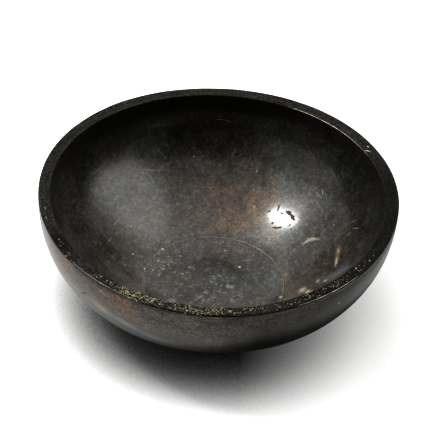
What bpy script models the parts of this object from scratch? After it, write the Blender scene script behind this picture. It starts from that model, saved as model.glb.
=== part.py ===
# A heavy cast bronze bowl: a round belly, a thick flat lip and a flattened base.
# Metres, +Z up. The origin is the centre of the flat underside that it stands on.
import math

import bmesh
import bpy
from mathutils import Vector

# Driving dimensions, in metres
RIM_DIAMETER = 0.240
BOWL_HEIGHT = 0.090
FOOT_DIAMETER = 0.092
FOOT_EDGE_RADIUS = 0.030
WALL_THICKNESS = 0.0044
FLOOR_THICKNESS = 0.0042
FLOOR_EDGE_RADIUS = 0.050
LIP_WIDTH = 0.008
LIP_FALL = 0.0007
LIP_DEPTH = 0.018
LIP_OUTER_ROUND = 0.0012
LIP_INNER_ROUND = 0.0006
LOBE_HEIGHT = 0.001

# The outer wall is two tangent arcs. Each direction is that of the wall's normal
# in the bowl's section, in degrees below level, where an arc starts or ends.
RIM_DIRECTION = -4.5
BELLY_DIRECTION = 45.0
FOOT_DIRECTION = 65.5

# The rim is slightly out of round, with this many lobes, one of them at -Y
LOBE_COUNT = 3

# How finely the section and the turn are divided
BELLY_STEPS = 9
LOWER_STEPS = 4
EDGE_STEPS = 5
LIP_ROUND_STEPS = 3
TURN_STEPS = 72
CREASE_DEGREES = 30.0

# Dark brown-black patina, satin
PATINA_COLOUR = (0.030, 0.026, 0.022, 1.0)
PATINA_METALLIC = 0.85
PATINA_ROUGHNESS = 0.42


def clear_scene():
    for old in list(bpy.data.objects):
        bpy.data.objects.remove(old, do_unlink=True)


def outward(angle):
    """The section's outward direction at an angle below level, as (radius, height)."""
    return Vector((math.cos(angle), -math.sin(angle)))


def outer_arcs():
    """Centre and radius of the belly's arc and of the lower wall's.

    Both arcs turn through fixed directions, so the run from rim to foot, across and
    down, gives two linear equations for the two radii."""
    rim = math.radians(RIM_DIRECTION)
    belly = math.radians(BELLY_DIRECTION)
    foot = math.radians(FOOT_DIRECTION)
    rim_radius = RIM_DIAMETER / 2
    across = rim_radius - FOOT_DIAMETER / 2
    belly_across = math.cos(rim) - math.cos(belly)
    lower_across = math.cos(belly) - math.cos(foot)
    belly_down = math.sin(belly) - math.sin(rim)
    lower_down = math.sin(foot) - math.sin(belly)
    determinant = belly_across * lower_down - lower_across * belly_down
    belly_radius = (across * lower_down - lower_across * BOWL_HEIGHT) / determinant
    lower_radius = (belly_across * BOWL_HEIGHT - belly_down * across) / determinant
    belly_centre = Vector((rim_radius, BOWL_HEIGHT)) - belly_radius * outward(rim)
    lower_centre = belly_centre + (belly_radius - lower_radius) * outward(belly)
    return (belly_centre, belly_radius), (lower_centre, lower_radius)


def arc_points(centre, radius, start, end, steps):
    """Points along an arc, without its last one: the next arc starts there."""
    turn = (end - start) / steps
    return [centre + radius * outward(start + turn * i) for i in range(steps)]


def wall_section(inset, plane, edge_radius):
    """Points from the rim down to where the wall meets a level plane.

    The wall lies inset from the outer one, and an arc of edge_radius leads it into
    the plane."""
    (belly_centre, belly_radius), (lower_centre, lower_radius) = outer_arcs()
    edge = min(edge_radius, 0.8 * (lower_radius - inset))
    edge_height = plane + edge
    reach = lower_radius - inset - edge
    down = lower_centre.y - edge_height
    edge_centre = Vector((lower_centre.x + math.sqrt(reach ** 2 - down ** 2), edge_height))
    edge_start = math.atan2(down, edge_centre.x - lower_centre.x)
    rim = math.radians(RIM_DIRECTION)
    belly = math.radians(BELLY_DIRECTION)
    points = arc_points(belly_centre, belly_radius - inset, rim, belly, BELLY_STEPS)
    points += arc_points(lower_centre, lower_radius - inset, belly, edge_start, LOWER_STEPS)
    points += arc_points(edge_centre, edge, edge_start, math.pi / 2, EDGE_STEPS)
    points.append(Vector((edge_centre.x, plane)))
    return points


def lip_thickening(depth):
    """How far the inner wall swells inward at a depth below the rim."""
    share = max(0.0, 1.0 - depth / LIP_DEPTH)
    return (LIP_WIDTH - WALL_THICKNESS) * share ** 2 * (3.0 - 2.0 * share)


def bowl_section():
    """The whole half section, from the foot up over the lip and down to the floor."""
    outer = wall_section(0.0, 0.0, FOOT_EDGE_RADIUS)
    inner = []
    for point in wall_section(WALL_THICKNESS, FLOOR_THICKNESS, FLOOR_EDGE_RADIUS)[1:]:
        swell = lip_thickening(BOWL_HEIGHT - point.y)
        inner.append(Vector((point.x - swell, point.y)))
    lip_edge = Vector((RIM_DIAMETER / 2 - LIP_WIDTH, BOWL_HEIGHT - LIP_FALL))
    return outer[::-1] + [lip_edge] + inner


def circle_edges(bm, point):
    """The turned edges that one point of the section draws."""
    def on_circle(vert):
        radius = math.hypot(vert.co.x, vert.co.y)
        return abs(radius - point.x) < 1e-5 and abs(vert.co.z - point.y) < 1e-5
    return [e for e in bm.edges if on_circle(e.verts[0]) and on_circle(e.verts[1])]


def round_edge(bm, point, radius):
    bmesh.ops.bevel(
        bm, geom=circle_edges(bm, point), offset=radius, segments=LIP_ROUND_STEPS,
        profile=0.5, affect="EDGES", material=-1)


def push_lobes(bm):
    """Make the rim out of round, fading away to a true circle at the foot."""
    share = LOBE_HEIGHT / (RIM_DIAMETER / 2)
    for vert in bm.verts:
        angle = math.atan2(vert.co.y, vert.co.x)
        fade = (vert.co.z / BOWL_HEIGHT) ** 2
        stretch = 1.0 + share * fade * math.sin(LOBE_COUNT * angle)
        vert.co.x *= stretch
        vert.co.y *= stretch


def bronze_patina():
    material = bpy.data.materials.new("bronze patina")
    material.use_nodes = True
    shader = material.node_tree.nodes["Principled BSDF"]
    shader.inputs["Base Color"].default_value = PATINA_COLOUR
    shader.inputs["Metallic"].default_value = PATINA_METALLIC
    shader.inputs["Roughness"].default_value = PATINA_ROUGHNESS
    return material


def make_bowl():
    section = bowl_section()
    bm = bmesh.new()
    line = [bm.verts.new((point.x, 0.0, point.y)) for point in section]
    edges = [bm.edges.new(pair) for pair in zip(line, line[1:])]
    bmesh.ops.spin(
        bm, geom=line + edges, cent=(0.0, 0.0, 0.0), axis=(0.0, 0.0, 1.0),
        angle=2.0 * math.pi, steps=TURN_STEPS, use_merge=True)
    rings = [e for e in bm.edges if e.is_boundary]
    bmesh.ops.holes_fill(bm, edges=rings, sides=0)
    bmesh.ops.recalc_face_normals(bm, faces=bm.faces)
    round_edge(bm, Vector((RIM_DIAMETER / 2, BOWL_HEIGHT)), LIP_OUTER_ROUND)
    round_edge(
        bm, Vector((RIM_DIAMETER / 2 - LIP_WIDTH, BOWL_HEIGHT - LIP_FALL)), LIP_INNER_ROUND)
    push_lobes(bm)
    mesh = bpy.data.meshes.new("bowl")
    bm.to_mesh(mesh)
    bm.free()
    mesh.shade_smooth()
    mesh.set_sharp_from_angle(angle=math.radians(CREASE_DEGREES))
    mesh.materials.append(bronze_patina())
    bowl = bpy.data.objects.new("bowl", mesh)
    bpy.context.scene.collection.objects.link(bowl)
    return bowl


clear_scene()
make_bowl()
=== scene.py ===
import math

import bmesh
import bpy
from mathutils import Matrix, Vector, noise
from mathutils.bvhtree import BVHTree


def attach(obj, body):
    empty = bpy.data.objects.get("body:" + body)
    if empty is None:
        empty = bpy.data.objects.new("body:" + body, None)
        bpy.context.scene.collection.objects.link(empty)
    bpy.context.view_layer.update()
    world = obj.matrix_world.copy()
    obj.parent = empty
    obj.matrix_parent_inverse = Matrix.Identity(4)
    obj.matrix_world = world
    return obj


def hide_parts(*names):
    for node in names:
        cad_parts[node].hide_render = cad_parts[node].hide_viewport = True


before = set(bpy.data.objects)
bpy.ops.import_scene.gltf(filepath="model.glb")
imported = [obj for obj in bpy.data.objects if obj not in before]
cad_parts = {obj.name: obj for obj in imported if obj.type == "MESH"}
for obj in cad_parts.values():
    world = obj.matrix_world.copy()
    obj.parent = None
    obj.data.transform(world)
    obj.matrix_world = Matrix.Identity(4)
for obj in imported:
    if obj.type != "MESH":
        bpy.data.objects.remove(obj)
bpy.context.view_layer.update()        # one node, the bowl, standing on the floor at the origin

mm = 0.001


# Small helpers

def hexColour(text):        # sRGB hex to the linear colour that shaders take
    parts = [int(text[i:i + 2], 16) / 255 for i in (1, 3, 5)]
    return (*[p / 12.92 if p <= 0.04045 else ((p + 0.055) / 1.055) ** 2.4 for p in parts], 1.0)


def fillInputs(tree, node, inputs):        # links sockets and sets plain values
    for name, value in inputs.items():
        if isinstance(value, bpy.types.NodeSocket):
            tree.links.new(value, node.inputs[name])
        else:
            node.inputs[name].default_value = value


def addNode(tree, kind, inputs, out=0, **settings):        # adds a node, sets and links it, gives an output
    node = tree.nodes.new("ShaderNode" + kind)
    for name, value in settings.items():
        setattr(node, name, value)
    fillInputs(tree, node, inputs)
    return node.outputs[out]


def span(start, end, low=0.0, high=1.0):        # the four limits of a Map Range node
    return {1: start, 2: end, 3: low, 4: high}


# Camera

photo = {
    "width": 432,                # pixels, square
    "distance": 1.08,            # metres to the point it turns about
    "aimHeight": 0.048,
    "elevation": 40.512,         # degrees it looks down
    "roll": 3.115,
    "tiltUp": 0.826,
    "turnLeft": -0.016,
    "focalPixels": 1576.93,
    "sensorWidth": 36.0,
}


def makeCamera():
    data = bpy.data.cameras.new("photoCamera")
    data.sensor_width = photo["sensorWidth"]
    data.lens = photo["focalPixels"] / photo["width"] * data.sensor_width
    data.dof.use_dof = False
    down = math.radians(photo["elevation"])
    back = Vector((0, -math.cos(down), math.sin(down)))
    place = Vector((0, 0, photo["aimHeight"])) + back * photo["distance"]
    turn = (-back).to_track_quat("-Z", "Y").to_matrix().to_4x4()
    for name, axis in (("roll", "Z"), ("tiltUp", "X"), ("turnLeft", "Y")):
        turn @= Matrix.Rotation(math.radians(photo[name]), 4, axis)
    camera = bpy.data.objects.new("photoCamera", data)
    camera.matrix_world = Matrix.Translation(place) @ turn
    bpy.context.scene.collection.objects.link(camera)
    bpy.context.scene.camera = camera
    return camera


# Studio

studio = {
    "skyColour": "#fcfcfc",
    "skyTilt": 10,               # degrees the overhead softness leans back from straight up
    "skyEdge": (56, 20),         # degrees from its middle where it starts and where it is full
    "skyStrength": (0.02, 1.2),
    "patches": [                 # softer, brighter parts of the sky: aim, edge, strength
        ((90, 39), (30, 8), 2.05),
        ((-82, 41), (20, 4), 0.45),
        ((-36, 18), (42, 4), 1.15),
        ((-122, 22), (40, 4), 0.5),
        ((28, 18), (38, 4), 1.05),
        ((108, 4), (44, 6), 0.28),
        ((-96, 2), (40, 6), 0.35)],
    "floorColour": "#fbfbfa",
    "floorSize": 8.0,
    "floorRough": 0.9,
    "contactReach": 0.055,       # metres within which the bowl darkens the floor beside and under it
    "contactOpen": (0.34, 0.86), # share of open sky where it is darkest, and where it is white again
    "contactSide": (0.02, 0.10, 0.02, 0.6),        # from and to in X, how light the darkest is there
    "tableGlow": 0.47,           # the floor shines a little, as the photo's burnt-out white suggests
    "glowSide": (0.12, -0.05, 0.2, 1.0),        # from and to in X, and the share of that glow there
    "lampAim": (-90.1, 54.2),    # degrees round from +Y towards +X, and above the floor
    "lampDistance": 2.2,
    "lampSize": (0.76, 0.23),
    "lampTurn": 48,
    "lampPower": 15,
}


def aimed(side, up):        # direction from its angles
    side, up = math.radians(side), math.radians(up)
    return Vector((math.sin(side) * math.cos(up), math.cos(side) * math.cos(up), math.sin(up)))


def addLamp():
    data = bpy.data.lights.new("lamp", "AREA")
    data.shape = "ELLIPSE"
    data.size, data.size_y = studio["lampSize"]
    data.energy = studio["lampPower"]
    towards = aimed(*studio["lampAim"])
    turn = towards.to_track_quat("Z", "Y").to_matrix().to_4x4()
    turn @= Matrix.Rotation(math.radians(studio["lampTurn"]), 4, "Z")
    lamp = bpy.data.objects.new("lamp", data)
    lamp.matrix_world = Matrix.Translation(towards * studio["lampDistance"]) @ turn
    bpy.context.scene.collection.objects.link(lamp)


def skyPatch(tree, look, towards, edge, strength):        # soft round brightness about one direction
    facing = addNode(tree, "VectorMath", {0: look, 1: towards}, "Value", operation="DOT_PRODUCT")
    start, full = (math.cos(math.radians(angle)) for angle in edge)
    return addNode(tree, "MapRange", {"Value": facing, **span(start, full, *strength)},
                   interpolation_type="SMOOTHSTEP")


def makeSky():
    world = bpy.data.worlds.new("softSky")
    world.use_nodes = True
    tree = world.node_tree
    look = addNode(tree, "TexCoord", {}, "Generated")
    above = skyPatch(tree, look, aimed(0, 90 - studio["skyTilt"]), studio["skyEdge"], studio["skyStrength"])
    for aim, edge, strength in studio["patches"]:
        patch = skyPatch(tree, look, aimed(*aim), edge, (0, strength))
        above = addNode(tree, "Math", {0: above, 1: patch}, operation="ADD")
    fillInputs(tree, tree.nodes["Background"], {"Color": hexColour(studio["skyColour"]), "Strength": above})
    bpy.context.scene.world = world
    bpy.context.scene.view_settings.view_transform = "Standard"
    bpy.context.scene.view_settings.look = "High Contrast"


def floorPaper():        # matt white paper with a painted contact shadow under and beside the bowl, darkest on the left, and a painted glow
    paint = bpy.data.materials.new("matt white sweep")
    paint.use_nodes = True
    tree = paint.node_tree
    black, white = hexColour("#000000"), hexColour(studio["floorColour"])
    # painted contact shadow: ambient occlusion darkens the paper's colour near the bowl, most on the left
    openSky = addNode(tree, "AmbientOcclusion", {"Distance": studio["contactReach"]}, "AO", samples=8)
    place = addNode(tree, "TexCoord", {}, "Object")
    side = addNode(tree, "SeparateXYZ", {0: place}, "X")
    contact = addNode(tree, "MapRange", {"Value": side, **span(*studio["contactSide"])})
    unshaded = addNode(tree, "MapRange", {"Value": openSky, **span(*studio["contactOpen"])})
    lit = addNode(tree, "Mix", {0: unshaded, 2: contact, 3: 1.0})
    paper = addNode(tree, "Mix", {0: lit, 6: black, 7: white}, 2, data_type="RGBA")
    # painted glow: the paper also shines, most on the left
    glow = addNode(tree, "MapRange", {"Value": side, **span(*studio["glowSide"])})
    glowing = addNode(tree, "Mix", {0: glow, 6: black, 7: paper}, 2, data_type="RGBA")
    fillInputs(tree, tree.nodes["Principled BSDF"], {
        "Base Color": paper, "Emission Color": glowing, "Emission Strength": studio["tableGlow"],
        "Roughness": studio["floorRough"], "Specular IOR Level": 0.0})
    return paint


def makeFloor():
    bm = bmesh.new()
    bmesh.ops.create_grid(bm, x_segments=1, y_segments=1, size=studio["floorSize"] / 2)
    mesh = bpy.data.meshes.new("paleFloor")
    bm.to_mesh(mesh)
    bm.free()
    mesh.materials.append(floorPaper())
    floor = bpy.data.objects.new("paleFloor", mesh)
    bpy.context.scene.collection.objects.link(floor)


# Bowl

bowlShape = {        # metres and degrees; down to footDirection they are the solid's own
    "rimRadius": 0.120,
    "height": 0.090,
    "footRadius": 0.046,
    "footEdge": 0.030,
    "wall": 0.0044,
    "floor": 0.0042,
    "floorEdge": 0.050,
    "lipWidth": 0.008,
    "lipFall": 0.0007,
    "lipDepth": 0.018,
    "lipOuterRound": 0.0012,
    "lipInnerRound": 0.0006,
    "lobeHeight": 0.001,
    "lobes": 3,
    "rimDirection": -4.5,
    "bellyDirection": 45.0,
    "footDirection": 65.5,
    "offside": (38, 0.0015),     # the outside bulges off centre near the rim: direction, how far
    "turnSteps": 420,
    "bellySteps": 30,
    "lowerSteps": 20,
    "edgeSteps": 14,
    "underSteps": 4,
    "floorSteps": 20,
    "lipSteps": 8,
    "lipOuterSteps": 5,
    "lipInnerSteps": 4,
    "lipFlat": (0.2, 0.86),      # shares of the lip's width between which it is flat
    "lineRadius": 0.0497,        # the turner's line scribed on the floor
    "lineWidth": 0.0006,
    "lineDepth": 0.00016,
    "lineProfile": ((1.3, 0), (1, 0.15), (0, 1), (-1, 0.15), (-1.3, 0)),        # half widths, share of depth
    "lineClear": 1.6,            # half widths to each side that are kept free for it
    "lineReach": 0.6,            # line widths from its middle to where the worn floor starts
    "floorWear": 0.0008,         # how far the floor's middle is worn down
    "floorRise": 4.7,            # how late it curves up to the scribed line
    "swells": ((0.055, 0.00022), (0.018, 0.00008)),        # hammered unevenness: wavelength, height
    "lipSwells": ((0.012, 0.00012), (0.004, 0.00006)),
    "lipSwellShift": 0.3,        # keeps the lip's swells apart from the wall's
    "lipReach": 0.0016,          # below the rim, over which the lip's swells fade
    "standing": 0.004,           # height over which the outside's swells fade in, so that it stands flat
    "lipBand": 0.0005,           # how far below the lip's inner edge the lip's bronze goes
    "sameWithin": 0.00001,       # points this near each other are the same
}


def outward(angle):
    return Vector((math.cos(angle), -math.sin(angle)))


def outerArcs():        # belly and lower wall: centre and radius of each arc of the section
    s = bowlShape
    rim, belly, foot = (math.radians(s[k]) for k in ("rimDirection", "bellyDirection", "footDirection"))
    across = s["rimRadius"] - s["footRadius"]
    bellyAcross = math.cos(rim) - math.cos(belly)
    lowerAcross = math.cos(belly) - math.cos(foot)
    bellyDown = math.sin(belly) - math.sin(rim)
    lowerDown = math.sin(foot) - math.sin(belly)
    determinant = bellyAcross * lowerDown - lowerAcross * bellyDown
    bellyRadius = (across * lowerDown - lowerAcross * s["height"]) / determinant
    lowerRadius = (bellyAcross * s["height"] - bellyDown * across) / determinant
    bellyCentre = Vector((s["rimRadius"], s["height"])) - bellyRadius * outward(rim)
    lowerCentre = bellyCentre + (bellyRadius - lowerRadius) * outward(belly)
    return bellyCentre, bellyRadius, lowerCentre, lowerRadius


def arcPoints(centre, radius, start, end, steps):        # without the last point
    return [centre + radius * outward(start + (end - start) * i / steps) for i in range(steps)]


def wallSection(inset, plane, edge):        # from the rim down to a level plane
    s = bowlShape
    bellyCentre, bellyRadius, lowerCentre, lowerRadius = outerArcs()
    edgeHeight = plane + edge
    down = lowerCentre.y - edgeHeight
    reach = lowerRadius - inset - edge
    edgeCentre = Vector((lowerCentre.x + math.sqrt(reach ** 2 - down ** 2), edgeHeight))
    edgeStart = math.atan2(down, edgeCentre.x - lowerCentre.x)
    rim, belly = math.radians(s["rimDirection"]), math.radians(s["bellyDirection"])
    points = arcPoints(bellyCentre, bellyRadius - inset, rim, belly, s["bellySteps"])
    points += arcPoints(lowerCentre, lowerRadius - inset, belly, edgeStart, s["lowerSteps"])
    points += arcPoints(edgeCentre, edge, edgeStart, math.pi / 2, s["edgeSteps"])
    return points + [Vector((edgeCentre.x, plane))]


def lipSwelling(depth):        # how far the wall thickens inward under the lip
    s = bowlShape
    share = max(0.0, 1 - depth / s["lipDepth"])
    return (s["lipWidth"] - s["wall"]) * share ** 2 * (3 - 2 * share)


def scribeLine(points):        # cuts a small V into the section where the scribed line is
    s = bowlShape
    half = s["lineWidth"] / 2
    kept = [p for p in points if abs(p.x - s["lineRadius"]) > half * s["lineClear"]]
    after = next(i for i, p in enumerate(kept) if p.x < s["lineRadius"])
    high, low = kept[after - 1], kept[after]
    cut = []
    for offset, depth in s["lineProfile"]:
        radius = s["lineRadius"] + offset * half
        share = (high.x - radius) / (high.x - low.x)
        cut.append(high.lerp(low, share) - Vector((0, s["lineDepth"] * depth)))
    return kept[:after] + cut + kept[after:]


def wornFloor(inner):        # the floor within the scribed line, worn lower in the middle
    s = bowlShape
    lineEdge = s["lineRadius"] - s["lineWidth"] * s["lineReach"]
    line = max((p for p in inner if p.x < lineEdge), key=lambda p: p.x)
    lowest = s["floor"] - s["floorWear"]
    worn = []
    for step in range(s["floorSteps"] - 1, 0, -1):
        share = step / s["floorSteps"]
        worn.append(Vector((line.x * share, lowest + (line.y - lowest) * share ** s["floorRise"])))
    return inner[:inner.index(line) + 1] + worn


def bowlSection():        # the whole half section, from the foot's middle over the lip to the floor's middle
    s = bowlShape
    outer = wallSection(0, 0, s["footEdge"])
    under = [Vector((outer[-1].x * i / s["underSteps"], 0)) for i in range(1, s["underSteps"])]
    outerCorner = Vector((s["rimRadius"], s["height"]))
    innerCorner = Vector((s["rimRadius"] - s["lipWidth"], s["height"] - s["lipFall"]))
    first, last = s["lipFlat"]
    lip = [outerCorner.lerp(innerCorner, first + (last - first) * i / s["lipSteps"])
           for i in range(s["lipSteps"] + 1)]
    inner = [p - Vector((lipSwelling(s["height"] - p.y), 0))
             for p in wallSection(s["wall"], s["floor"], s["floorEdge"])[1:]]
    return under + outer[::-1] + lip + [innerCorner] + wornFloor(scribeLine(inner))


def roundRing(bm, point, radius, segments):        # rounds the turned edge that a section point draws
    near = bowlShape["sameWithin"]

    def onRing(vert):
        return abs(math.hypot(vert.co.x, vert.co.y) - point.x) < near and abs(vert.co.z - point.y) < near

    ring = [e for e in bm.edges if onRing(e.verts[0]) and onRing(e.verts[1])]
    bmesh.ops.bevel(bm, geom=ring, offset=radius, segments=segments, profile=0.5, affect="EDGES", material=-1)


def unevenness(place, waves):
    return sum(noise.noise(place / length) * height for length, height in waves)


def bulging(place, across, onLip, inside):        # how far the outside stands out towards the offside
    s = bowlShape
    direction, reach = s["offside"]
    angle = math.atan2(place.y, place.x) - math.radians(direction)
    bulge = reach * ((1 + math.cos(angle)) / 2) ** 2 * (place.z / s["height"]) ** 3
    if onLip:
        return bulge * max(0.0, 1 - across * 4)        # gone by a quarter of the lip's width
    return 0.0 if inside else bulge


def shapeByHand(bm):        # out of round, softly uneven, and a less even lip
    s = bowlShape
    bm.normal_update()
    across = bm.verts.layers.float.new("lipAcross")        # 0 at the lip's outer edge, 1 at its inner edge
    lipShift = Vector((s["lipSwellShift"], 0, 0))
    moves = []
    for vert in bm.verts:
        place = vert.co.copy()
        outwards = Vector((place.x, place.y, 0))
        vert[across] = (s["rimRadius"] - math.hypot(place.x, place.y)) / s["lipWidth"]
        onLip = max(0.0, 1 - (s["height"] - place.z) / s["lipReach"])
        inside = vert.normal.z > 0 or vert.normal.dot(outwards) < 0
        share = 1.0 if inside else min(1.0, place.z / s["standing"])
        push = unevenness(place, s["swells"]) * share + unevenness(place + lipShift, s["lipSwells"]) * onLip
        moves.append(vert.normal * push + outwards.normalized() * bulging(place, vert[across], onLip, inside))
    lobe = s["lobeHeight"] / s["rimRadius"]
    for vert, move in zip(bm.verts, moves):
        angle = math.atan2(vert.co.y, vert.co.x)
        stretch = 1 + lobe * (vert.co.z / s["height"]) ** 2 * math.sin(s["lobes"] * angle)
        vert.co.x *= stretch
        vert.co.y *= stretch
        vert.co += move


def partOf(face):        # which bronze a face takes: 0 inside, 1 lip, 2 outside
    s = bowlShape
    centre = face.calc_center_median()
    if centre.z > s["height"] - s["lipFall"] - s["lipBand"]:
        return 1
    inward = face.normal.z > 0.5 or face.normal.dot(Vector((centre.x, centre.y, 0))) < 0
    return 0 if inward and face.normal.z > -0.9 else 2


def makeBowl():
    s = bowlShape
    bm = bmesh.new()
    line = [bm.verts.new((p.x, 0, p.y)) for p in bowlSection()]
    edges = [bm.edges.new(pair) for pair in zip(line, line[1:])]
    bmesh.ops.spin(bm, geom=line + edges, cent=(0, 0, 0), axis=(0, 0, 1), angle=2 * math.pi,
                   steps=s["turnSteps"], use_merge=True)
    bmesh.ops.holes_fill(bm, edges=[e for e in bm.edges if e.is_boundary], sides=0)
    bmesh.ops.recalc_face_normals(bm, faces=bm.faces)
    innerCorner = Vector((s["rimRadius"] - s["lipWidth"], s["height"] - s["lipFall"]))
    roundRing(bm, Vector((s["rimRadius"], s["height"])), s["lipOuterRound"], s["lipOuterSteps"])
    roundRing(bm, innerCorner, s["lipInnerRound"], s["lipInnerSteps"])
    shapeByHand(bm)
    bm.normal_update()
    for face in bm.faces:
        face.material_index = partOf(face)
        face.smooth = True
    mesh = bpy.data.meshes.new("bronzeBowl")
    bm.to_mesh(mesh)
    surface = BVHTree.FromBMesh(bm)
    bm.free()
    bowl = bpy.data.objects.new("bronzeBowl", mesh)
    bpy.context.scene.collection.objects.link(bowl)
    return bowl, surface


# Marks: each is placed where the photo shows it, in its pixels, and lies on the bowl's own surface

markDepth = 3 * mm        # how far a stroke's mark reaches into the metal


def surfaceAt(camera, surface, pixel):
    centre = photo["width"] / 2
    x, y = (pixel[0] - centre) / photo["focalPixels"], (centre - pixel[1]) / photo["focalPixels"]
    towards = (camera.matrix_world.to_3x3() @ Vector((x, y, -1))).normalized()
    return surface.ray_cast(camera.matrix_world.translation, towards)[:2]


def strokeOn(camera, surface, stroke):        # a mark's place, turn and radii, from pixels and a width in mm
    x0, y0, x1, y1, width = stroke
    start, normal = surfaceAt(camera, surface, (x0, y0))
    end, _ = surfaceAt(camera, surface, (x1, y1))
    along = (end - start).normalized()
    across = normal.cross(along).normalized()
    turn = Matrix((along, across, along.cross(across))).transposed()
    half = width * mm / 2
    return (start + end) / 2, turn.to_euler(), ((end - start).length / 2 + half, half, markDepth)


def spotOn(camera, surface, spot):        # the same for a round mark: pixel and radius in mm
    place, _ = surfaceAt(camera, surface, spot[:2])
    return place, (0, 0, 0), (spot[2] * mm,) * 3


def markMask(tree, place, marks, inner, outer):        # 1 within inner of a mark's radius, 0 past outer
    nearest = None
    for centre, turn, radii in marks:
        scaled = addNode(tree, "Mapping", {
            "Vector": place, "Location": centre, "Rotation": turn, "Scale": radii}, vector_type="TEXTURE")
        far = addNode(tree, "VectorMath", {0: scaled}, "Value", operation="LENGTH")
        if nearest is None:
            nearest = far
        else:
            nearest = addNode(tree, "Math", {0: nearest, 1: far}, operation="MINIMUM")
    return addNode(tree, "MapRange", {"Value": nearest, **span(outer, inner)})


def ragged(tree, place, size, reach):        # the place shifted by noise, so that a mark gets a torn edge
    wobble = addNode(tree, "TexNoise", {"Vector": place, "Scale": 1 / size, "Detail": 2}, "Color")
    centred = addNode(tree, "VectorMath", {0: wobble, 1: (0.5, 0.5, 0.5)}, operation="SUBTRACT")
    return addNode(tree, "VectorMath", {0: centred, 1: (reach, reach, reach), 2: place},
                   operation="MULTIPLY_ADD")


# Old bronze: a copper-tin casting under a nearly black oxide skin, rubbed to a dull satin.
# In each look, "torn" gives how marks' edges wander: from which place, size and reach of the wandering.
# "marks" gives for each kind its edge, the shares of a mark's radius where it starts to fade and is gone,
# and the marks: strokes as two pixels and a width in mm, spots as a pixel and a radius in mm.
# "zones" gives ramps, along a noise or a coordinate, that are multiplied with each other and with the marks.
# "coats" gives the colour and strength of what lies over the metal, in this order.
# Real cast grain is finer than half a millimetre, and is drawn at 1.2 to 1.4 mm so that it shows.

skinNoise = {        # detail, roughness, distortion
    "cloud": (4, 0.6, 0.4),
    "mottle": (5, 0.82, 0.3),
    "grain": (2, 0.5, 0.0),
    "fleck": (3, 0.6, 0.5),
}
noiseRange = (0.3, 0.7)          # where most of a noise's values lie

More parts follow.
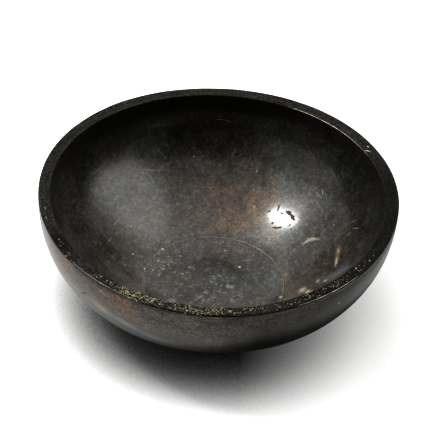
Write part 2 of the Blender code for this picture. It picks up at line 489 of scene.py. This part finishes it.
insideLook = {
    "name": "rubbed bronze, inside",
    "cool": "#424240",
    "warm": "#454038",
    "drift": (0.38, 0.62),
    "brown": "#584a3d",
    # painted shade on the back wall under the lip
    "paintedBackShade": "#1d1e16",
    "rub": 1.0,                  # above 1, clouds and mottle are drawn out sideways
    "sizes": {"cloud": 40 * mm, "mottle": 13 * mm, "grain": 1.3 * mm, "fleck": 2.99 * mm},
    "depths": {"mottle": 0.60, "fleck": 0.32, "grain": 0.45},
    "roughness": (0.29, 0.40),
    "bump": 0.02 * mm,
    "metal": 0.55,
    "polish": 0.6,
    "polishRoughness": 0.12,
    "lineBreadth": 0.28 * mm,
    "torn": {
        "wandering": ("clean", 22 * mm, 40 * mm),
        "fine": ("clean", 1.2 * mm, 0.9 * mm),
        "wide": ("fine", 2.6 * mm, 2.4 * mm)},
    "marks": {
        "brownZone": ("wandering", 0.4, 1.15, [(234, 205, 36)]),
        "whiteSpecks": ("fine", 0.7, 1.2, [
            (162.5, 249, 0.7), (180, 256, 0.55), (158, 261, 0.5), (163, 269, 0.5), (175, 272, 0.45),
            (159, 275, 0.45), (183, 274, 0.4), (225, 250.5, 0.5), (239.7, 267, 0.8), (144.5, 268.5, 0.6),
            (133, 254, 0.5), (125, 265, 0.4), (296, 262, 0.4), (334, 225, 0.35), (314, 176, 0.35),
            (316, 188, 0.3), (194, 156.3, 0.45), (171, 262, 0.35), (168, 257, 0.3), (153, 270, 0.4),
            (187, 262, 0.3), (205, 262, 0.3), (131, 226, 0.45), (300, 150, 0.3), (111, 178, 0.3),
            (99, 200, 0.3), (257, 171, 0.4)]),
        "goldStains": ("wide", 0.0, 1.3, [
            (213, 242.5, 217, 243, 1.2), (250.5, 210.5, 1.9), (254, 209.5, 1.9), (255, 212, 1.0),
            (286, 274, 1.9), (284, 279, 282.5, 296, 0.5), (213, 196, 0.6), (128, 225, 0.6), (257, 188, 0.8),
            (302, 180, 0.5), (324, 260, 0.8), (326, 264, 0.9), (322, 266, 0.7),
            (338.4, 248, 337.4, 256, 5.0), (337.4, 254, 336, 264, 4.4), (325, 262, 322, 266, 1.2),
            (176, 187, 0.4), (368, 162, 370, 165, 1.0)]),
        "creamStains": ("wide", 0.0, 1.4, [
            (304.5, 243, 309, 239.5, 2.2), (309, 238.8, 317.5, 238.8, 2.4), (307, 241, 313, 240, 1.9),
            (302.5, 290, 2.9), (308, 291.5, 2.0), (306, 292, 311, 291.5, 2.2), (317.5, 281, 1.5),
            (325, 281, 1.3), (281.3, 297, 1.2), (254.5, 207, 0.8), (336.5, 259, 335.8, 265, 1.9),
            (338.6, 249, 338.2, 252, 1.2), (322, 190, 323, 195, 0.9)]),
        "scratches": ("clean", 0.5, 1.1, [
            (352, 229, 360, 227.5, 0.5), (350, 223, 356, 220, 0.4), (345, 236, 352, 232, 0.4),
            (142, 169.5, 162, 170.5, 0.35), (113, 225.5, 120, 218, 0.5), (315, 192, 322, 198, 0.5),
            (216, 119.5, 224, 119.3, 0.3), (224, 119.5, 232, 122.2, 0.35), (256, 282, 266, 289, 0.3),
            (92, 175, 103, 166, 0.3), (108, 243, 112, 236, 0.35), (145, 170, 155, 183, 0.3),
            (160, 152, 168, 160, 0.25), (236, 158, 243, 153, 0.25), (70, 205, 78, 197, 0.25),
            (330, 170, 336, 178, 0.25)]),
        "scuffs": ("clean", 0.1, 1.0, [
            (225, 287, 9), (205, 298, 8), (172, 301, 4), (212, 279, 5), (236, 298, 5), (190, 268, 4),
            (168, 266, 7)]),
        "pits": ("wide", 0.8, 1.1, [
            (267.5, 211.7, 271, 210.8, 1.3), (279, 206, 277.5, 211, 1.5), (281, 213, 284, 213.3, 1.0),
            (287, 211.5, 291, 214.5, 2.6), (290.5, 214, 294, 219.5, 2.6), (273, 228, 280.5, 227.5, 1.9),
            (272.5, 223.3, 1.0), (288, 226, 291, 224, 0.9), (267, 218.5, 0.7), (291.5, 229, 0.6)]),
        "pitGold": ("wide", 0.5, 1.2, [
            (288, 212.5, 292.5, 216.5, 1.1), (274, 228.4, 278, 228.4, 0.9), (279, 207, 278, 210, 0.5),
            (268, 211.5, 270, 211, 0.6)])},
    "zones": {
        "brownZone": [("cloud", 0.34, 0.60, 0.3, 1.0)],
        # painted shade: at the back, high on the wall under the lip, fading out towards the right
        "paintedBackShade": [("Y", 15 * mm, 75 * mm), ("Z", 46 * mm, 74 * mm), ("X", 20 * mm, 70 * mm, 0.75, 0.0)],
        "film": [("radius", 49.6 * mm, 51 * mm), ("radius", 78 * mm, 56 * mm), ("Y", 20 * mm, -8 * mm),
                 ("mottle", 0.35, 0.65, 0.6, 1.0)],
        "dust": [("grain", 0.44, 0.64, 0.2, 1.0), ("radius", 105 * mm, 30 * mm, 0.15, 1.0),
                 ("fleck", 0.54, 0.70)],
        "line": [("cloud", 0.35, 0.65, 0.55, 0.85)],
        "scuffs": [("fleck", 0.50, 0.62)]},
    "coats": {
        "film": ("#94897a", 0.38),
        "dust": ("#85847c", 0.8),
        "line": ("#8f8c80", 0.6),
        "scuffs": ("#9b9d9e", 0.7),
        "goldStains": ("#96805c", 0.75),
        "creamStains": ("#c3baa2", 0.85),
        "scratches": ("#b5b2a8", 0.75),
        "whiteSpecks": ("#dcd9cd", 0.9),
        "pits": ("#1d170e", 0.95),
        "pitGold": ("#705a34", 0.85)},
    "coatRough": 0.7,
}

lipLook = {
    "name": "worn bronze, lip",
    "cool": "#302f2c",
    "warm": "#312e27",
    "drift": (0.38, 0.62),
    "dark": ("#1a1916", 0.95),
    "rub": 1.0,
    "sizes": {"cloud": 20 * mm, "mottle": 6 * mm, "grain": 1.4 * mm, "fleck": 3.22 * mm},
    "depths": {"mottle": 0.45, "turned": 0.55, "grain": 0.95},
    "turnedSize": 14 * mm,       # turning marks run round the lip: their length, and how many lie across
    "turnedLines": 7.0,
    "turnedNoise": (4, 0.7),
    "roughness": (0.42, 0.55),
    "bump": 0.16 * mm,
    "metal": 0.95,
    "polish": 0.0,
    "polishRoughness": 0.3,
    "arris": ("#aeaaa1", 0.8),
    "arrisLeast": 0.12,          # how bare the lip's edges are outside the zone
    "arrisRough": 0.25,
    "edgeDirt": "#0d0c0a",
    "edgeDirtRough": 0.8,
    "crustGap": ("#1b1a12", 0.7),
    "crustColours": ((0.1, "#86805f"), (0.55, "#d6d0b8"), (0.95, "#a8976a")),
    "crustShares": {"thinCrust": 0.28, "crumbs": 0.11},
    "crustGrains": ((0.8 * mm, 0.9, 0.25), (1.25 * mm, 0.5, 0.22)),        # drawn coarse: size, share, edge
    "crustStrength": 0.85,
    "crustRough": 0.8,
    "crustHeight": 3.0,          # in grain heights
    "torn": {"fine": ("clean", 1.2 * mm, 0.9 * mm)},
    "marks": {
        "darkSide": ("clean", 0.4, 1.0, [(392, 214, 80), (340, 286, 46), (58, 246, 20)]),
        "arrisZone": ("clean", 0.8, 1.2, [
            (300, 110, 335, 126, 12), (333, 125, 352, 138, 12), (350, 137, 366, 150, 12),
            (76, 267, 92, 278, 10), (90, 277, 132, 298, 10), (303, 304, 340, 287, 5),
            (340, 287, 355, 276, 4), (355, 276, 376, 256, 3)]),
        "crust": ("clean", 0.7, 1.15, [
            (121, 289, 150, 300, 9), (146, 299, 190, 309.5, 9), (184, 309, 230, 312, 8)]),
        "thinCrust": ("clean", 0.6, 1.15, [
            (96, 275, 124, 290, 5), (242, 311, 271, 307.5, 8), (303, 299, 331, 287, 7),
            (334, 285, 347, 277.5, 7)]),
        "crumbs": ("clean", 0.6, 1.15, [
            (262, 309, 306, 298, 8), (344, 279, 372, 257, 7), (226, 311, 246, 311, 8),
            (54, 238, 82, 267, 7)]),
        "stains": ("fine", 0.5, 1.1, [(44, 207, 46, 209, 1.0), (46, 216, 46.5, 219, 0.8)]),
        "nick": ("fine", 0.5, 1.1, [(367.5, 146, 368.5, 147.2, 0.9), (365, 150.3, 370, 151.3, 0.9)])},
    "zones": {
        "outerArris": [("across", 0.06, 0.045), ("across", 0.018, 0.03)],
        "innerArris": [("across", 0.93, 0.96)],
        "rubbedOff": [("fleck", 0.40, 0.60, 0.4, 1.0)],
        "edgeDirt": [("across", 0.09, 0.02, 0.0, 0.9)],
        "crust": [("cloud", 0.40, 0.60, 0.5, 1.0)]},
    "coats": {
        "stains": ("#948b75", 0.5),
        "nick": ("#d4cdb8", 0.85)},
}

outsideLook = {
    "name": "rubbed bronze, outside",
    "cool": "#3b3a38",
    "warm": "#3f3b36",
    "drift": (0.38, 0.62),
    "russet": "#4c4036",
    "dark": "#110f0d",
    # painted shade: the lower outside is painted near black and matt, darkest at the bottom
    "under": ("#1a1916", 0.72),
    "shadeBelowRough": 1.0,
    "shadeBelowHeight": (68 * mm, 42 * mm),        # where the painted shade below starts and is full
    "shadeBelowShift": (-60 * mm, 30 * mm, -24 * mm, 8 * mm),        # the painted shade reaches higher on the right
    # painted sheen: a pale band along the lower left edge
    "worn": ("#8a857c", 0.38),
    "edgeShade": "#12110e",
    "rub": 2.5,
    "sizes": {"cloud": 36 * mm, "mottle": 14 * mm, "grain": 1.2 * mm, "fleck": 2.76 * mm},
    "depths": {"mottle": 0.55, "fleck": 0.35, "grain": 0.80},
    "roughness": (0.32, 0.46),
    "bump": 0.03 * mm,
    "metal": 0.95,
    "polish": 0.1,
    "polishRoughness": 0.2,
    "torn": {
        "wandering": ("clean", 20 * mm, 25 * mm),
        "fine": ("clean", 1.4 * mm, 1.2 * mm)},
    "marks": {
        "russetSide": ("wandering", 0.3, 1.1, [(66, 270, 26), (104, 298, 24), (130, 312, 16)]),
        # painted shade: darker on the right and at the bottom middle
        "darkSide": ("wandering", 0.35, 1.0, [(352, 296, 100), (272, 340, 36)]),
        # painted sheen along the lower left edge
        "paintedSheenBand": ("fine", 0.1, 1.1, [
            (92, 300, 112, 316, 9), (112, 315, 140, 331, 7), (138, 331, 172, 343, 6)]),
        "rust": ("fine", 0.1, 1.1, [
            (127, 303, 3.6), (61, 254, 66, 259, 2.5), (67, 260, 73, 265, 2.2), (210, 318, 222, 318, 1.6),
            (119, 299, 2.0)]),
        "rustCore": ("fine", 0.4, 1.1, [(127, 303, 1.5), (63, 256, 65, 258, 0.8), (213, 318, 1.0)]),
        "darkMarks": ("fine", 0.6, 1.1, [
            (301, 335, 305, 333.5, 1.8), (81, 293, 86, 293, 1.6), (127.5, 303.5, 0.6)]),
        "whiteSpecks": ("fine", 0.6, 1.1, [
            (337, 289, 0.7), (339, 303, 0.5), (150, 325, 0.3), (101, 290, 0.3)]),
        "streaks": ("fine", 0.3, 1.1, [
            (95, 285, 110, 300, 0.4), (88, 291, 99, 303, 0.3), (140, 322, 152, 331, 0.3)])},
    "zones": {
        "russetSide": [("mottle", 0.40, 0.60, 0.2, 0.9)],
        # the painted shade is weaker towards the rim
        "darkSide": [("Z", 58 * mm, 84 * mm, 0.95, 0.5)],
        "edgeShade": [("Z", 85.5 * mm, 88 * mm), ("X", 50 * mm, -50 * mm, 0.0, 0.6)]},
    "coats": {
        "rust": ("#74503a", 0.6),
        "rustCore": ("#4a1c10", 0.9),
        "darkMarks": ("#15120e", 0.85),
        "whiteSpecks": ("#dcd9cd", 0.9),
        "streaks": ("#a9a49a", 0.5)},
    "coatRough": 0.7,
}


def startBronze(look):        # the material, and what its masks run along: place, coordinates and noises
    material = bpy.data.materials.new(look["name"])
    material.use_nodes = True
    tree = material.node_tree
    place = addNode(tree, "TexCoord", {}, "Object")
    apart = addNode(tree, "SeparateXYZ", {0: place}).node
    sources = {"place": place, **{axis: apart.outputs[axis] for axis in "XYZ"}}
    rubbed = addNode(tree, "Mapping", {"Vector": place, "Scale": (1, 1, look["rub"])})
    for name, (detail, rough, twist) in skinNoise.items():
        sources[name] = addNode(tree, "TexNoise", {
            "Vector": rubbed, "Scale": 1 / look["sizes"][name], "Detail": detail, "Roughness": rough,
            "Distortion": twist})
    drift = addNode(tree, "MapRange", {"Value": sources["cloud"], **span(*look["drift"])})
    rough = addNode(tree, "MapRange", {"Value": sources["mottle"], **span(*noiseRange, *look["roughness"])})
    skin = {"colour": hexColour(look["cool"]), "rough": rough, "metal": look["metal"],
            "polish": look["polish"]}
    cover(tree, skin, drift, 1, colour=look["warm"])
    return material, sources, skin


def masksOf(tree, look, sources, camera, surface):        # a mask for each kind of mark and each zone
    places = {"clean": sources["place"]}
    for name, (start, size, reach) in look["torn"].items():
        places[name] = ragged(tree, places[start], size, reach)
    masks = {}
    for name, (edge, inner, outer, marks) in look["marks"].items():
        placed = [(strokeOn if len(mark) == 5 else spotOn)(camera, surface, mark) for mark in marks]
        masks[name] = markMask(tree, places[edge], placed, inner, outer)
    for name, ramps in look["zones"].items():
        for source, *limits in ramps:
            ramp = addNode(tree, "MapRange", {"Value": sources[source], **span(*limits)})
            masks[name] = overlap(tree, masks[name], ramp) if name in masks else ramp
    return masks


def overlap(tree, mask, *others):        # a mask where all the others hold as well
    for other in others:
        mask = addNode(tree, "Math", {0: mask, 1: other}, operation="MULTIPLY")
    return mask


def cover(tree, skin, mask, strength, **coat):        # lays a coat's colour, gloss and so on over the skin
    if strength < 1:
        mask = overlap(tree, mask, strength)
    for name, value in coat.items():
        if name == "colour":
            over = hexColour(value) if isinstance(value, str) else value
            skin[name] = addNode(tree, "Mix", {0: mask, 6: skin[name], 7: over}, 2, data_type="RGBA")
        else:
            skin[name] = addNode(tree, "Mix", {0: mask, 2: skin[name], 3: value})


def shadeSkin(tree, look, sources, skin):        # lightens and darkens the colour by noises
    for name, depth in look["depths"].items():
        shade = addNode(tree, "MapRange", {"Value": sources[name], **span(*noiseRange, 1 - depth, 1 + depth)})
        skin["colour"] = addNode(tree, "VectorMath", {0: skin["colour"], "Scale": shade}, operation="SCALE")


def finishBronze(tree, look, skin, height):
    bump = addNode(tree, "Bump", {"Height": height, "Distance": look["bump"], "Strength": 1.0})
    fillInputs(tree, tree.nodes["Principled BSDF"], {
        "Base Color": skin["colour"], "Roughness": skin["rough"], "Metallic": skin["metal"],
        "Coat Weight": skin["polish"], "Coat Roughness": look["polishRoughness"], "Normal": bump})


def insideBronze(camera, surface):        # rubbed inside: smooth enough to show the lamp, brown where worn
    look = insideLook
    material, sources, skin = startBronze(look)
    tree = material.node_tree
    level = addNode(tree, "VectorMath", {0: sources["place"], 1: (1, 1, 0)}, operation="MULTIPLY")
    sources["radius"] = addNode(tree, "VectorMath", {0: level}, "Value", operation="LENGTH")
    masks = masksOf(tree, look, sources, camera, surface)
    cover(tree, skin, masks["brownZone"], 1, colour=look["brown"])
    shadeSkin(tree, look, sources, skin)
    # painted shade darkens the back wall under the lip
    cover(tree, skin, masks["paintedBackShade"], 1, colour=look["paintedBackShade"])
    onLine = addNode(tree, "Math", {0: sources["radius"], 1: bowlShape["lineRadius"], 2: look["lineBreadth"]},
                     operation="COMPARE")
    masks["line"] = overlap(tree, masks["line"], onLine)
    for name, (paint, strength) in look["coats"].items():
        cover(tree, skin, masks[name], strength, colour=paint, rough=look["coatRough"], metal=0.0, polish=0.0)
    finishBronze(tree, look, skin, sources["grain"])
    return material


def turnedMarks(tree, look, sources):        # fine streaks that follow the lip round
    length, lines = 1 / look["turnedSize"], look["turnedLines"]
    ring = {}
    for axis, (name, scale) in enumerate((("X", length), ("Y", length), ("across", lines))):
        ring[axis] = addNode(tree, "Math", {0: sources[name], 1: scale}, operation="MULTIPLY")
    detail, rough = look["turnedNoise"]
    return addNode(tree, "TexNoise", {
        "Vector": addNode(tree, "CombineXYZ", ring), "Scale": 1.0, "Detail": detail, "Roughness": rough})


def bareEdges(tree, look, skin, masks):        # dirt along the lip's edge, bright metal where it is rubbed
    bare = addNode(tree, "MapRange", {"Value": masks["arrisZone"], **span(0, 1, look["arrisLeast"], 1.0)})
    unrubbed = addNode(tree, "MapRange", {"Value": bare, **span(0, 1, 1.0, 0.0)})
    dirt = overlap(tree, masks["edgeDirt"], unrubbed)
    cover(tree, skin, dirt, 1, colour=look["edgeDirt"], rough=look["edgeDirtRough"])
    edges = addNode(tree, "Math", {0: masks["outerArris"], 1: masks["innerArris"]}, operation="MAXIMUM")
    arris = overlap(tree, edges, bare, masks["rubbedOff"])
    paint, strength = look["arris"]
    cover(tree, skin, arris, strength, colour=paint)
    cover(tree, skin, arris, 1, rough=look["arrisRough"])


def crumbColour(tree, look, chance):        # pale earth between grey, cream and tan
    ramp = addNode(tree, "ValToRGB", {0: chance})
    stops = ramp.node.color_ramp.elements
    for position, text in look["crustColours"]:
        stops.new(position).color = hexColour(text)
    stops.remove(stops[-1])
    stops.remove(stops[0])
    return ramp


def layCrust(tree, look, sources, skin, masks):        # scattered grains of earth, which also raise the bump
    height = sources["grain"]
    crusted = masks["crust"]
    for name, share in look["crustShares"].items():
        less = overlap(tree, masks[name], share)
        crusted = addNode(tree, "Math", {0: crusted, 1: less}, operation="MAXIMUM")
    paint, strength = look["crustGap"]
    cover(tree, skin, crusted, strength, colour=paint)
    for size, share, edge in look["crustGrains"]:
        cells = addNode(tree, "TexVoronoi", {
            "Vector": sources["place"], "Scale": 1 / size, "Randomness": 1.0}).node
        chance = addNode(tree, "SeparateColor", {0: cells.outputs["Color"]}).node
        density = overlap(tree, crusted, share)
        there = addNode(tree, "Math", {0: chance.outputs[0], 1: density}, operation="LESS_THAN")
        disc = addNode(tree, "MapRange", {"Value": cells.outputs["Distance"], **span(0.5, 0.5 - edge)})
        grain = overlap(tree, there, disc, look["crustStrength"])
        cover(tree, skin, grain, 1, colour=crumbColour(tree, look, chance.outputs[1]),
              rough=look["crustRough"], metal=0.0)
        raised = {0: grain, 1: look["crustHeight"], 2: height}
        height = addNode(tree, "Math", raised, operation="MULTIPLY_ADD")
    return height


def lipBronze(camera, surface):        # worn lip: matt and pitted, crusted with pale earth at the front
    look = lipLook
    material, sources, skin = startBronze(look)
    tree = material.node_tree
    sources["across"] = addNode(tree, "Attribute", {}, "Fac", attribute_name="lipAcross")
    sources["turned"] = turnedMarks(tree, look, sources)
    masks = masksOf(tree, look, sources, camera, surface)
    paint, strength = look["dark"]
    cover(tree, skin, masks["darkSide"], strength, colour=paint)
    shadeSkin(tree, look, sources, skin)
    bareEdges(tree, look, skin, masks)
    height = layCrust(tree, look, sources, skin, masks)
    for name, (paint, strength) in look["coats"].items():
        cover(tree, skin, masks[name], strength, colour=paint, metal=0.0)
    finishBronze(tree, look, skin, height)
    return material


def outsideBronze(camera, surface):        # rubbed outside: a soft sheen, russet at left, painted shade below and on the right, a painted sheen along the lower left edge
    look = outsideLook
    material, sources, skin = startBronze(look)
    tree = material.node_tree
    masks = masksOf(tree, look, sources, camera, surface)
    cover(tree, skin, masks["russetSide"], 1, colour=look["russet"])
    # painted shade on the right and at the bottom middle, weaker near the rim
    cover(tree, skin, masks["darkSide"], 1, colour=look["dark"])
    shadeSkin(tree, look, sources, skin)
    # painted shade below the belly, reaching higher on the right
    shift = addNode(tree, "MapRange", {"Value": sources["X"], **span(*look["shadeBelowShift"])})
    leaning = addNode(tree, "Math", {0: sources["Z"], 1: shift}, operation="SUBTRACT")
    under = addNode(tree, "MapRange", {"Value": leaning, **span(*look["shadeBelowHeight"])},
                    interpolation_type="SMOOTHSTEP")
    paint, strength = look["under"]
    cover(tree, skin, under, strength, colour=paint)
    cover(tree, skin, under, 1, rough=look["shadeBelowRough"], metal=1.0, polish=0.0)
    # painted sheen along the lower left edge
    paint, strength = look["worn"]
    cover(tree, skin, masks["paintedSheenBand"], strength, colour=paint)
    cover(tree, skin, masks["edgeShade"], 1, colour=look["edgeShade"])
    for name, (paint, strength) in look["coats"].items():
        cover(tree, skin, masks[name], strength, colour=paint, rough=look["coatRough"], metal=0.0)
    finishBronze(tree, look, skin, sources["grain"])
    return material


camera = makeCamera()
makeSky()
addLamp()
makeFloor()
print("camera and studio ready")
bowl, bowlSurface = makeBowl()
print("bowl turned:", len(bowl.data.polygons), "faces")
for makeBronze in (insideBronze, lipBronze, outsideBronze):
    bowl.data.materials.append(makeBronze(camera, bowlSurface))
print("bronze finished")
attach(bowl, "root")
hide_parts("bowl")
